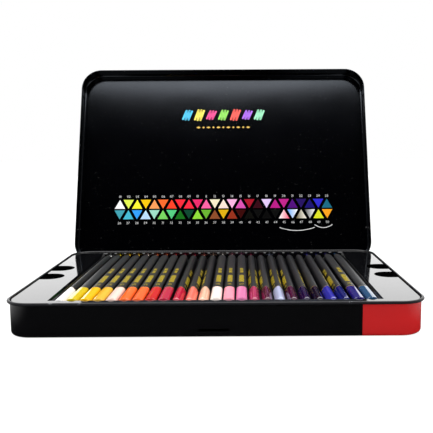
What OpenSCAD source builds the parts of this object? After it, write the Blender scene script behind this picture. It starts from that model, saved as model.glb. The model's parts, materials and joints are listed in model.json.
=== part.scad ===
// Hinged tinplate box with two stacked trays of triangular coloured pencils, its lid open.
// The origin is the middle of the base's underside: X runs along the width, Y towards the hinges, Z up.

/* [Tin] */
// Width of the base over its rim curl
case_w = 280; // [262:1:340]
// Depth of the base over its rim curl
case_d = 192; // [192:1:235]
// Height of the base
base_h = 24; // [20:0.5:32]
// Plan radius of the base's corners over the rim curl
corner_r = 18; // [10:0.5:26]
// Thickness of the tinplate
sheet = 0.3; // [0.25:0.01:0.36]
// Outer radius of the curl round the base's rim
curl_r = 1.1; // [0.9:0.05:1.35]
// Outer radius along the base's bottom edge
foot_r = 2.5; // [1.5:0.25:3.5]
// Width of the thumb mark pressed in the front wall
thumb_w = 18; // [10:0.5:40]
// Height of the thumb mark
thumb_h = 1.5; // [1:0.1:2]
// Depth of the thumb mark
thumb_depth = 0.45; // [0.2:0.05:0.5]
// Height of the thumb mark's middle above the underside
thumb_z = 5.1; // [4.5:0.1:9]
// Distance of the thumb mark's middle from the middle of the front
thumb_x = -1; // [-40:1:40]

/* [Lid] */
// Clearance between the rim curl and the lid's hem
lid_gap = 0.5; // [0.4:0.05:1]
// Gap between the two leaves of the folded hem
fold_gap = 0.1; // [0.06:0.01:0.2]
// Height of the folded hem
hem_h = 3; // [2:0.25:4]
// Outer radius along the lid's top edge
lid_edge_r = 2; // [1:0.25:4]
// Clear height over the rim under the closed lid's panel
headroom = 1.5; // [1.5:0.25:6]
// Angle to which the lid opens
open_angle = 108.3; // [95:0.1:125]
// Diameter of the snap dimples in the lid's ends
dimple_d = 4; // [3:0.25:6]
// Height of the snap dimples
dimple_h = 0.7; // [0.3:0.05:0.75]
// Distance of the snap dimples from the back and the front of the lid
dimple_inset = 25; // [22:1:60]

/* [Hinges] */
// Distance of each hinge from the middle
hinge_x = 80; // [30:1:95]
// Depth of the hinge axis below the rim
hinge_drop = 10.3; // [10:0.1:11]
// Radius of the hinge wire
pin_r = 0.8; // [0.7:0.05:0.9]
// Radial clearance of the wire in the lid's knuckle, which turns on it
turning_fit = 0.06; // [0.03:0.01:0.1]
// Radial clearance of the wire in the base's knuckles, which hold it
holding_fit = 0.02; // [0.01:0.01:0.04]
// Width of the lid's knuckle
lid_knuckle_w = 14; // [8:0.5:24]
// Width of each of the base's knuckles
base_knuckle_w = 8; // [5:0.5:12]
// Gap between two knuckles, along the wire
knuckle_gap = 0.3; // [0.2:0.05:0.6]
// Length of wire that stands out of the knuckles at each end
wire_end = 0.5; // [0.2:0.1:1]
// Play left between the open lid's hem and the base's back wall
stop_play = 0.05; // [0.03:0.01:0.15]

/* [Trays] */
// Thickness of the formed plastic
tray_skin = 0.5; // [0.4:0.05:0.7]
// Clearance between a tray and the base's wall
tray_gap = 0.8; // [0.7:0.05:1.2]
// Clearance between the foot of the lower tray and the bend along the base's bottom edge
foot_gap = 0.3; // [0.1:0.05:0.6]
// Depth of the upper tray's flange below the rim
tray_drop = 1; // [0.8:0.1:3]
// Height of the pencils above the flange
pencil_proud = 1; // [0:0.1:1.5]
// Clearance between a pencil and each side of its groove
groove_gap = 0.2; // [0.15:0.05:0.4]
// Clearance between a pencil and the bottom of its groove
rest_gap = 0.2; // [0.1:0.05:0.3]
// Clearance at each end of a pencil
end_gap = 0.5; // [0.3:0.1:2]
// Radius along the bottom edges of a groove
groove_r = 2; // [1.2:0.1:2.2]
// Thickness of the ridges between the grooves
ridge_w = 0.73; // [0.5:0.01:1]
// Depth of the ridges below the flange
ridge_drop = 4.7; // [3:0.1:5]
// Slope at which the flange turns down to the ridges behind the pencils
turn_down = 50; // [40:1:60]
// Distance from that turn to the ends of the grooves
arch_depth = 1.5; // [0.5:0.25:3]
// Width of the sloping shoulder beside the outer grooves
shoulder_w = 3; // [1:0.25:4]
// Width of the flange behind the grooves
rear_flange = 2.5; // [1.5:0.25:6]
// Radius of the finger notches
notch_r = 10.3; // [7:0.1:12]
// Distance between the two notches of a pair
notch_pitch = 30.8; // [26:0.2:50]
// Distance of a pair's middle behind the middle of the box
notch_y = 5; // [-20:1:20]
// Width of the flange between the shoulder and the notches
notch_land = 9.5; // [4:0.5:14]

/* [Pencils] */
// Number of pencils in each tray
per_tray = 25; // [2:1:25]
// Length of a pencil
pencil_l = 175; // [120:1:176]
// Radius of a pencil's three rounded edges
edge_r = 2; // [1.6:0.05:2.2]
// Distance of the edges' centres from the pencil's axis
edge_offset = 1.95; // [1.8:0.05:2.2]
// Radius of a pencil's three bulged sides
side_r = 6.5; // [6:0.25:12]
// Radius of the coloured lead
lead_r = 1.65; // [1:0.05:2]
// Radius of the blunt tip of the lead
tip_r = 0.4; // [0.2:0.05:0.6]
// Angle between the sharpened cone and the pencil's axis
cone_angle = 9.2; // [9:0.1:16]
// Length of the end that is dipped in colour
dip_l = 33.3; // [10:0.1:60]
// Thickness of the dipped coat
dip_skin = 0.1; // [0.05:0.01:0.2]
// Thickness of the dipped coat over the end of the wood
cap_l = 2.2; // [2:0.1:4]
// Radius of the flat in the middle of the rounded front end
end_flat_r = 1.6; // [0.5:0.1:2.4]

/* [Hidden] */
// Places of the walls, as distances outside the corners' centres
corner_x = case_w / 2 - corner_r;
corner_y = case_d / 2 - corner_r;
pan_wall = corner_r - 2 * curl_r + sheet;
hem_t = 2 * sheet + fold_gap;
lid_wall = corner_r + lid_gap + hem_t;
tray_wall = corner_r - 2 * curl_r - tray_gap;

// Hinge axis: the lid's knuckle is flush with the outside of its back wall
lid_knuckle_r = pin_r + turning_fit + sheet;
base_knuckle_r = pin_r + holding_fit + sheet;
axis_y = corner_y + lid_wall - lid_knuckle_r;
axis_z = base_h - hinge_drop;
axis_to_wall = axis_y - corner_y - pan_wall;
// The lid's hem turns below the axis and meets the base's back wall at the open angle
hem_r = hem_t / 2;
hem_drop = hem_r + (axis_to_wall - stop_play - hem_r + (lid_knuckle_r - hem_r) * cos(open_angle))
    / sin(open_angle);
lid_low = axis_z - hem_drop;
lid_top = base_h + headroom + sheet;
// The hem is cut back here to clear the knuckles
hinge_w = lid_knuckle_w + 2 * (knuckle_gap + base_knuckle_w);
relief_gap = 0.5;
relief_z = axis_z + lid_knuckle_r + relief_gap;
// Flat sheet round each snap dimple
dimple_rim = 0.3;
// Each of the base's knuckles is rolled from the sheet of the window above it
leg_lift = 0.02;
window_l = axis_to_wall + 2 * PI * (base_knuckle_r - sheet / 2);
window_gap = 0.2;
roll_slot = 0.3;
roll_slot_angle = 25;
curl_opening = 55;

// Pencils and the grooves that hold them
pencil_r = edge_offset + edge_r;
pencil_w = 2 * (edge_offset * cos(30) + edge_r);
// A side's arc meets the rounded edges smoothly. Its centre lies this far beyond the axis, it spans
// this angle to each side of its middle, and its middle lies this far from the axis.
side_centre = sqrt(pow(side_r - edge_r, 2) - pow(edge_offset * sin(60), 2)) - edge_offset / 2;
side_span = atan2(edge_offset * sin(60), edge_offset / 2 + side_centre);
side_reach = side_r - side_centre;
// Depth by which a side's arc stays inside the rounded edges where they meet, so that the two cross
side_cut = 0.005;
pencil_h = side_reach + pencil_r;
groove_w = pencil_w + 2 * (dip_skin + groove_gap);
pitch = groove_w + ridge_w;
grooves_w = (per_tray - 1) * pitch + groove_w;
tray_h = (base_h - sheet - tray_drop) / 2;
lower_flange_z = sheet + tray_h;
upper_flange_z = sheet + 2 * tray_h;
// The flange reaches past the tray's skirt, which stands on the flat of the base's floor
skirt_inset = foot_r - sheet - tray_gap + foot_gap;
groove_z = pencil_proud - pencil_h - dip_skin - rest_gap;
tray_y = corner_y + tray_wall;
groove_back = tray_y - rear_flange;
groove_front = groove_back - pencil_l - 2 * end_gap;
pencil_front = groove_front + end_gap;
rise_end = groove_back - arch_depth;
turn_r = ridge_drop / cos(turn_down);
turn_y = rise_end + turn_r * sin(turn_down);
notch_x = grooves_w / 2 + shoulder_w + notch_land + notch_r;
// Depth by which the rounding of a pencil's end cuts its flat, so that the two cross
end_cut = 0.02;
// How far the circle of that rounding runs past the pencil's edges
end_over = 0.2;
// How far a cut runs past the surface it opens
past = 1;

tin_black = "#17171a";
tray_black = "#0d0d0f";
barrel_grey = "#4b4b50";

// Roll of each pencil about its axis: 0 is an edge up and 180 a flat side up
upper_rolls = [
    3, 180, 180, 181, 180, 179, 180, 180, 180, 2, -2, 3, 184, 180, 180,
    0, -2, 1, 2, -3, -2, 2, -2, 181, 180
];
lower_rolls = [
    180, 180, 0, 179, 2, 180, 181, -3, 180, 180, 0, 3, 180, 179, 180,
    -2, 180, 180, 182, 1, 0, 180, 180, -2, 180
];

upper_colours = [
    "#fbfbf8", "#f3e534", "#fdd91f", "#fdcb52", "#fbe3d8", "#fb8832", "#fb8446", "#e63035", "#cf2f58",
    "#c71f45", "#f28272", "#fbcf9f", "#fdf6ee", "#fbb0c0", "#f49bcf", "#d2407f", "#9a1f4e", "#dcdcf2",
    "#7b1c5c", "#3a0f6b", "#33062c", "#6a5fd6", "#16208a", "#24127f", "#3f82b8"
];
lower_colours = [
    "#0f7f86", "#1aa3b8", "#1e5fb4", "#a9cfe8", "#cfeadf", "#bfe3a0", "#8fd6a8", "#1d6b3a", "#0f5a52",
    "#a6cf2a", "#2f9a3f", "#6b4226", "#c9a227", "#b5522a", "#3a1a18", "#2b2b2b", "#55575a", "#8a8c8f",
    "#c4c6c8", "#7d5a3c", "#e8a0b4", "#5b86c9", "#c99a2e", "#e6ff3c", "#ff7a1f"
];

function two_digits(i) = i < 10 ? str("0", i) : str(i);
function pencil_name(layer, i) = str(layer, "_pencil_", two_digits(i));

// Carries a wall's section round the box. The section's X is the distance outside the corners' centres.
module round_the_box() {
    for (turn = [0:3]) {
        along = turn % 2 == 0 ? corner_y : corner_x;
        out = turn % 2 == 0 ? corner_x : corner_y;
        rotate(90 * turn) translate([out, along, 0]) {
            rotate_extrude(angle = 90) children();
            rotate([90, 0, 0]) linear_extrude(2 * along) children();
        }
    }
}

// Flat sheet between the corners' centres
module middle_plate(z) {
    translate([-corner_x, -corner_y, z]) cube([2 * corner_x, 2 * corner_y, sheet]);
}

// Extrudes a section in Y and Z along X, about the middle
module across(length) {
    rotate([90, 0, 90]) linear_extrude(length, center = true) children();
}

// One quadrant of a bent sheet: [1, 1] is the upper right one
module quarter_bend(r, quadrant) {
    intersection() {
        difference() {
            circle(r);
            circle(r - sheet);
        }
        translate([min(quadrant[0], 0) * r, min(quadrant[1], 0) * r]) square(r);
    }
}

// Open roll of sheet that starts upward on its left side
module curl_section() {
    reach = 2 * curl_r;
    end = 180 + curl_opening;
    difference() {
        circle(curl_r);
        circle(curl_r - sheet);
        polygon([[0, 0], [-reach, 0], [-reach, -reach], reach * [cos(end), sin(end)]]);
    }
}

module pan_section() {
    curl_z = base_h - curl_r;
    square([pan_wall - foot_r, sheet]);
    translate([pan_wall - foot_r, foot_r]) quarter_bend(foot_r, [1, -1]);
    translate([pan_wall - sheet, foot_r]) square([sheet, curl_z - foot_r]);
    translate([pan_wall - sheet + curl_r, curl_z]) curl_section();
}

// Round-ended bar with its middle at the origin, along X
module capsule(length, r) {
    straight = length - 2 * r;
    rotate([0, 90, 0]) cylinder(h = straight, r = r, center = true);
    for (side = [-1, 1]) translate([side * straight / 2, 0, 0]) sphere(r);
}

// Shape that presses the thumb mark: the skin is the sheet's thickness on its inner side, or 0 outside
module thumb_press(skin) {
    r = (pow(thumb_h / 2, 2) + pow(thumb_depth, 2)) / (2 * thumb_depth);
    wall_y = -corner_y - pan_wall;
    translate([thumb_x, wall_y - r + thumb_depth, thumb_z])
        capsule(thumb_w + 2 * (r - thumb_h / 2) + 2 * skin, r + skin);
}

// Back of the thumb mark, on the inside of the wall
module thumb_boss() {
    intersection() {
        thumb_press(sheet);
        translate([-case_w / 2, sheet / 2 - corner_y - pan_wall, 0]) cube([case_w, 2 * past, base_h]);
    }
}

// Knuckle rolled up from a leg that leaves the back wall under it
module base_knuckle() {
    bore_r = pin_r + holding_fit;
    across(base_knuckle_w) difference() {
        union() {
            circle(base_knuckle_r);
            translate([-axis_to_wall - sheet, leg_lift - base_knuckle_r])
                square([axis_to_wall + sheet, sheet]);
        }
        circle(bore_r);
        rotate(180 + roll_slot_angle) translate([0, -roll_slot / 2]) square([2 * base_knuckle_r, roll_slot]);
    }
}

// Middles of the base's four knuckles along X
base_knuckle_xs = [
    for (hinge = [-1, 1]) for (side = [-1, 1])
        hinge * hinge_x + side * (lid_knuckle_w + base_knuckle_w + 2 * knuckle_gap) / 2
];

module knuckle_windows() {
    leg_top = axis_z - base_knuckle_r + leg_lift + sheet;
    for (x = base_knuckle_xs)
        translate([x - base_knuckle_w / 2 - window_gap, corner_y + pan_wall - sheet - past, leg_top])
            cube([base_knuckle_w + 2 * window_gap, sheet + 2 * past, window_l]);
}

module tin_base() {
    color(tin_black) {
        difference() {
            union() {
                round_the_box() pan_section();
                middle_plate(0);
                thumb_boss();
            }
            thumb_press(0);
            knuckle_windows();
        }
        for (x = base_knuckle_xs) translate([x, axis_y, axis_z]) base_knuckle();
    }
}

module lid_section() {
    square_z = lid_top - sheet;
    translate([0, square_z]) square([lid_wall - lid_edge_r, sheet]);
    translate([lid_wall - lid_edge_r, lid_top - lid_edge_r]) quarter_bend(lid_edge_r, [1, 1]);
    translate([lid_wall - sheet, lid_low + hem_r]) square([sheet, lid_top - lid_edge_r - lid_low - hem_r]);
    translate([lid_wall - hem_r, lid_low + hem_r]) {
        quarter_bend(hem_r, [1, -1]);
        quarter_bend(hem_r, [-1, -1]);
    }
    translate([lid_wall - hem_t, lid_low + hem_r]) square([sheet, hem_h - hem_r]);
}

// Knuckle that carries on down from the lid's back wall
module lid_knuckle() {
    across(lid_knuckle_w) difference() {
        union() {
            circle(lid_knuckle_r);
            translate([lid_knuckle_r - sheet - leg_lift, 0]) square([sheet, relief_z - axis_z]);
        }
        circle(pin_r + turning_fit);
    }
}

// Half section of a snap dimple, with the flat sheet round it, drawn with the lid's inside below Y = 0
module dimple_section() {
    half = dimple_d / 2;
    r = (half * half + dimple_h * dimple_h) / (2 * dimple_h);
    rim = half + dimple_rim;
    difference() {
        union() {
            square([rim, sheet]);
            intersection() {
                translate([0, r - dimple_h]) circle(r);
                translate([0, -past]) square([rim, past]);
            }
        }
        translate([0, r - dimple_h]) circle(r - sheet);
    }
}

// Puts its children at each snap dimple, with their Z axis outward
module at_the_dimples() {
    z = base_h - 2 * curl_r - dimple_d / 2;
    for (side = [-1, 1]) for (end = [-1, 1])
        translate([side * (corner_x + lid_wall - sheet), end * (corner_y + lid_wall - dimple_inset), z])
            rotate([0, side * 90, 0]) children();
}

module closed_lid() {
    difference() {
        union() {
            round_the_box() lid_section();
            middle_plate(lid_top - sheet);
        }
        at_the_dimples() cylinder(h = 2 * past, r = dimple_d / 2 + dimple_rim, center = true);
        for (hinge = [-1, 1])
            translate([hinge * hinge_x - hinge_w / 2 - relief_gap, axis_y - hem_t - past, lid_low - past])
                cube([hinge_w + 2 * relief_gap, hem_t + 2 * lid_knuckle_r + 2 * past, relief_z - lid_low + past]);
    }
    at_the_dimples() rotate_extrude() dimple_section();
    for (hinge = [-1, 1]) translate([hinge * hinge_x, axis_y, axis_z]) lid_knuckle();
}

module tin_lid() {
    color(tin_black) translate([0, axis_y, axis_z]) rotate([-open_angle, 0, 0])
        translate([0, -axis_y, -axis_z]) closed_lid();
}

module hinge_pin(side) {
    color("silver") translate([side * hinge_x, axis_y, axis_z]) rotate([0, 90, 0])
        cylinder(h = hinge_w + 2 * wire_end, r = pin_r, center = true);
}

module round_rectangle(width, depth, r) {
    square([width - 2 * r, depth], center = true);
    square([width, depth - 2 * r], center = true);
    for (x = [-1, 1]) for (y = [-1, 1])
        translate([x * (width / 2 - r), y * (depth / 2 - r)]) circle(r);
}

// Puts its children at the middle of each finger notch, with their X axis outward
module at_the_notches() {
    for (side = [0, 1]) for (pair = [-1, 1])
        mirror([side, 0]) translate([notch_x, notch_y + pair * notch_pitch / 2]) children();
}

// Plan of a tray with its four finger notches, drawn in by an inset
module tray_plan(inset) {
    wall = tray_wall - inset;
    r = notch_r + inset;
    difference() {
        round_rectangle(2 * (corner_x + wall), 2 * (corner_y + wall), wall);
        at_the_notches() {
            circle(r);
            translate([0, -r]) square([case_w, 2 * r]);
        }
    }
}

// Right half of a groove's section, grown by a skin
module half_groove(skin) {
    w = groove_w / 2 + skin;
    r = groove_r + skin;
    translate([0, groove_z - skin]) {
        square([w - r, r]);
        translate([0, r]) square([w, past - groove_z + skin - r]);
        translate([w - r, r]) intersection() {
            circle(r);
            translate([0, -r]) square(r);
        }
    }
}

module groove_section(skin) {
    half_groove(skin);
    mirror([1, 0]) half_groove(skin);
}

// Middles of the grooves along X
groove_xs = [for (i = [1:per_tray]) (i - (per_tray + 1) / 2) * pitch];

// Extrudes a section in X and Z from one Y to another
module along(front, back) {
    translate([0, back, 0]) rotate([90, 0, 0]) linear_extrude(back - front) children();
}

// The wide part of the pocket above the ridges, with a slope at both sides and a rounded turn at the back
module pocket_top(skin) {
    side_angle = atan2(ridge_drop, shoulder_w);
    half_w = grooves_w / 2 + shoulder_w + skin / sin(side_angle);
    low = ridge_drop + skin;
    top = skin == 0 ? past : 0;
    side_run = low / tan(side_angle);
    front = groove_front - skin;
    back = turn_y - sqrt(pow(turn_r - skin, 2) - pow(ridge_drop, 2));
    difference() {
        along(front, back)
            polygon([[side_run - half_w, -low], [half_w - side_run, -low], [half_w, 0], [half_w, top],
                [-half_w, top], [-half_w, 0]]);
        translate([0, turn_y, -ridge_drop]) rotate([0, 90, 0])
            cylinder(h = 2 * half_w + 2 * past, r = turn_r - skin, center = true);
    }
}

// Outside of the grooves and their back ends, below the flange
module groove_shells() {
    round_start = groove_back - groove_w / 2;
    intersection() {
        along(groove_front - tray_skin, round_start)
            for (x = groove_xs) translate([x, 0]) groove_section(tray_skin);
        translate([-case_w / 2, -case_d / 2, groove_z - past]) cube([case_w, case_d, past - groove_z]);
    }
    translate([-grooves_w / 2 - tray_skin, round_start, groove_z - tray_skin])
        cube([grooves_w + 2 * tray_skin, groove_w / 2 + tray_skin, tray_skin - groove_z]);
}

module groove_hollows() {
    round_start = groove_back - groove_w / 2;
    along(groove_front, round_start)
        for (x = groove_xs) translate([x, 0]) groove_section(0);
    for (x = groove_xs) translate([x, round_start, 0]) rotate_extrude(angle = 180) half_groove(0);
}

// Formed tray, with the top of its flange at Z = 0
module tray() {
    difference() {
        union() {
            difference() {
                union() {
                    translate([0, 0, -tray_skin]) linear_extrude(tray_skin) tray_plan(0);
                    translate([0, 0, -tray_h]) linear_extrude(tray_h) tray_plan(skirt_inset);
                }
                translate([0, 0, -tray_h - past])
                    linear_extrude(tray_h + past - tray_skin) tray_plan(skirt_inset + tray_skin);
            }
            pocket_top(tray_skin);
            groove_shells();
        }
        pocket_top(0);
        groove_hollows();
    }
}

module lower_tray() {
    color(tray_black) translate([0, 0, lower_flange_z]) tray();
}

module upper_tray() {
    color(tray_black) translate([0, 0, upper_flange_z]) tray();
}

// Section of a pencil with an edge up, grown by a skin
module pencil_section(skin) {
    bulge_r = side_r + skin;
    half_w = bulge_r * sin(side_span);
    for (edge = [90, 210, 330]) rotate(edge) translate([edge_offset, 0]) circle(edge_r + skin);
    for (side = [30, 150, 270]) rotate(side) intersection() {
        translate([-side_centre, 0]) circle(bulge_r - side_cut);
        translate([-past, -half_w]) square([2 * bulge_r, 2 * half_w]);
    }
}

// Distance of a point on the sharpened cone from the wood's start, from its radius
function cone_z(r) = pencil_l - (r - tip_r) / tan(cone_angle);

// Round body of a radius from the wood's front end to the sharpened tip
module sharpened(r) {
    rotate_extrude() polygon([[0, cap_l], [r, cap_l], [r, cone_z(r)], [tip_r, pencil_l], [0, pencil_l]]);
}

module casing() {
    difference() {
        intersection() {
            translate([0, 0, cap_l]) linear_extrude(pencil_l - cap_l) pencil_section(0);
            sharpened(pencil_r + past);
        }
        cylinder(h = pencil_l, r = lead_r);
    }
}

// Half section of what is rounded off the edge of the dipped end
module end_waste() {
    round_r = pencil_r + dip_skin + end_over - end_flat_r;
    difference() {
        translate([end_flat_r, -past]) square([2 * round_r, past + round_r]);
        translate([end_flat_r, round_r - end_cut]) circle(round_r);
    }
}

module dipped_coat() {
    difference() {
        linear_extrude(dip_l) pencil_section(dip_skin);
        rotate_extrude() end_waste();
        translate([0, 0, cap_l]) linear_extrude(dip_l) pencil_section(0);
    }
}

// Height of a pencil's axis over the lowest point of its section, at a roll
function axis_height(roll) =
    let (lean = abs((roll + 420) % 120 - 60))
    lean < side_span ? side_r - side_centre * cos(lean) : edge_r + edge_offset * cos(60 - lean);

module pencil(i, flange_z, roll, colour) {
    pencil_z = flange_z + groove_z + rest_gap + dip_skin + axis_height(roll);
    translate([groove_xs[i - 1], pencil_front, pencil_z])
        rotate([90, -roll, 180]) {
            color(barrel_grey) casing();
            color(colour) sharpened(lead_r);
            color(colour) dipped_coat();
        }
}

tin_base();
tin_lid();
hinge_pin(-1);  // hinge_pin_left
hinge_pin(1);  // hinge_pin_right
lower_tray();
upper_tray();
for (i = [1:per_tray])
    pencil(i, lower_flange_z, lower_rolls[i - 1], lower_colours[i - 1]);
for (i = [1:per_tray])
    pencil(i, upper_flange_z, upper_rolls[i - 1], upper_colours[i - 1]);
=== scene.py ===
"""Finishes, printed lid, foil marks and studio of an open tin with fifty triangular coloured pencils.

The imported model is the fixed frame. Each class below dresses one sub-assembly of it, and adds the
printed and stamped pieces that are too thin for the frame. Lengths are in metres.
"""

import json
import logging
import math
from dataclasses import dataclass, field
from enum import Enum
from functools import cache

import bmesh
import bpy
import numpy as np
from mathutils import Matrix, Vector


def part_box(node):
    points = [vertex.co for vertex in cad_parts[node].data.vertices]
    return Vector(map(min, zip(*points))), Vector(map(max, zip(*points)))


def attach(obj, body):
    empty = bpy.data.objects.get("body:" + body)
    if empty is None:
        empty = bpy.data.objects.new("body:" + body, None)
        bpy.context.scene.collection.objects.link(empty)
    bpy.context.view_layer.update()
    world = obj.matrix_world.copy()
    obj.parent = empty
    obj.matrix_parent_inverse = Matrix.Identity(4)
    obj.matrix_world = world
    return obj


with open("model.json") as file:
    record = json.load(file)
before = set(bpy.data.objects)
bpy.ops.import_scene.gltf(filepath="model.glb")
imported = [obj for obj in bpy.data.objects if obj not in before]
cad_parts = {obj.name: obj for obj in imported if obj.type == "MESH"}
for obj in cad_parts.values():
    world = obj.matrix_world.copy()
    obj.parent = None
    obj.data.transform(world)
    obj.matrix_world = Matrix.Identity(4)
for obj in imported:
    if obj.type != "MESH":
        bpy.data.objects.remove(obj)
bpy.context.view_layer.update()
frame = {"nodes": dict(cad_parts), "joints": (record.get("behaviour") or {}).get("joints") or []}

log = logging.getLogger("pencil_tin")
MM = 0.001
PENCILS_IN_TRAY = 25
Colour = tuple[float, float, float, float]
BLACK: Colour = (0.0, 0.0, 0.0, 1.0)
WHITE: Colour = (1.0, 1.0, 1.0, 1.0)
Socket = bpy.types.NodeSocket
Value = float | tuple | Socket
Nodes = dict[str, bpy.types.Object]


def paint(code: str) -> Colour:
    """Linear colour of a hex code, by the standard screen curve.

    A channel up to 0.04045 is divided by 12.92. A higher one gets 0.055 added, is divided by 1.055 and
    is raised to the power of 2.4.

    Args:
        code: Two digits for each of red, green and blue.

    Returns:
        The colour, fully opaque.
    """
    parts = np.array([int(code[i:i + 2], 16) for i in (0, 2, 4)]) / 255
    linear = np.where(parts <= 0.04045, parts / 12.92, ((parts + 0.055) / 1.055) ** 2.4)
    return (*(float(v) for v in linear), 1.0)


def vertices_of(mesh: bpy.types.Mesh) -> np.ndarray:
    """A mesh's vertices.

    Args:
        mesh: The mesh.

    Returns:
        Rows of X, Y and Z.
    """
    flat = np.empty(3 * len(mesh.vertices), dtype=np.float32)
    mesh.vertices.foreach_get("co", flat)
    return flat.reshape(-1, 3).astype(float)


@cache
def flange_top(tray: str) -> float:
    """Height of a tray's flange, which is its highest part."""
    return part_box(tray)[1][2]


class Recipe:
    """The shader nodes of one finish, measured in the object's own coordinates."""

    def __init__(self, name: str) -> None:
        """Starts an empty finish.

        Args:
            name: The material's name.
        """
        self.material = bpy.data.materials.new(name)
        self.material.use_nodes = True
        self.tree = self.material.node_tree
        self.tree.nodes.clear()
        self.where = self.tree.nodes.new("ShaderNodeTexCoord")

    def add(self, kind: str, inputs: dict[str | int, Value], **settings: object) -> bpy.types.Node:
        """Adds one node, sets its options, and fills or links its inputs.

        Args:
            kind: Type of the node.
            inputs: A value or another node's socket for each input.
            settings: Options of the node.

        Returns:
            The node.
        """
        node = self.tree.nodes.new(kind)
        for option, choice in settings.items():
            setattr(node, option, choice)
        for key, value in inputs.items():
            if isinstance(value, Socket):
                self.tree.links.new(value, node.inputs[key])
            else:
                node.inputs[key].default_value = value
        return node

    def axes(self, output: str = "Object") -> list[Socket]:
        """The three coordinates of a point, or of its normal."""
        return list(self.add("ShaderNodeSeparateXYZ", {0: self.where.outputs[output]}).outputs)

    def calc(self, operation: str, *values: Value) -> Socket:
        """One step of arithmetic."""
        return self.add("ShaderNodeMath", dict(enumerate(values)), operation=operation).outputs[0]

    def times(self, first: Value, *others: Value) -> Value:
        """The product of several masks or numbers.

        Args:
            first: The first factor.
            others: The other factors.

        Returns:
            The product.
        """
        for other in others:
            first = self.calc("MULTIPLY", first, other)
        return first

    def ramp(self, value: Value, low: float, high: float) -> Socket:
        """A smooth step, from 0 at one value to 1 at another, which may be the lower of the two.

        Args:
            value: The number that is looked at.
            low: Where the step is 0.
            high: Where the step is 1.

        Returns:
            The mask.
        """
        up = low < high
        limits = {"Value": value, "From Min": min(low, high), "From Max": max(low, high),
                  "To Min": 0.0 if up else 1.0, "To Max": 1.0 if up else 0.0}
        return self.add("ShaderNodeMapRange", limits, interpolation_type="SMOOTHSTEP").outputs[0]

    def near(self, value: Value, centre: float, outer: float, inner: float) -> Socket:
        """A mask of 1 within the inner distance of a centre, and of 0 past the outer one."""
        return self.ramp(self.calc("ABSOLUTE", self.calc("SUBTRACT", value, centre)), outer, inner)

    def blend(self, share: Value, first: Value, second: Value) -> Socket:
        """A colour between two: the first at share 0, the second at share 1."""
        return self.add("ShaderNodeMix", {0: share, 6: first, 7: second}, data_type="RGBA").outputs[2]

    def level(self, share: Value, first: Value, second: Value) -> Socket:
        """A number between two: the first at share 0, the second at share 1."""
        return self.add("ShaderNodeMix", {0: share, 2: first, 3: second}).outputs[0]

    def grain(self, size: float, stretch: tuple = (1, 1, 1), detail: float = 2.0) -> Socket:
        """Smooth noise from 0 to 1.

        Args:
            size: Size of its blotches.
            stretch: What each axis is multiplied by, less than 1 for longer blotches.
            detail: How many finer noises are added.

        Returns:
            The noise.
        """
        spread = self.add("ShaderNodeVectorMath", {0: self.where.outputs["Object"], 1: stretch},
                          operation="MULTIPLY")
        inputs = {"Vector": spread.outputs[0], "Scale": 1 / size, "Detail": detail}
        return self.add("ShaderNodeTexNoise", inputs).outputs[0]

    def relief(self, height: Socket, depth: float) -> Socket:
        """A normal that follows a height map of that depth."""
        return self.add("ShaderNodeBump", {"Height": height, "Distance": depth}).outputs[0]

    def done(self, **inputs: Value) -> bpy.types.Material:
        """Closes the finish with one principled shader.

        Args:
            inputs: Inputs of the shader, with _ for a space in their names.

        Returns:
            The finished material.
        """
        named = {key.replace("_", " "): value for key, value in inputs.items()}
        shader = self.add("ShaderNodeBsdfPrincipled", named)
        self.add("ShaderNodeOutputMaterial", {0: shader.outputs[0]})
        return self.material


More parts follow.
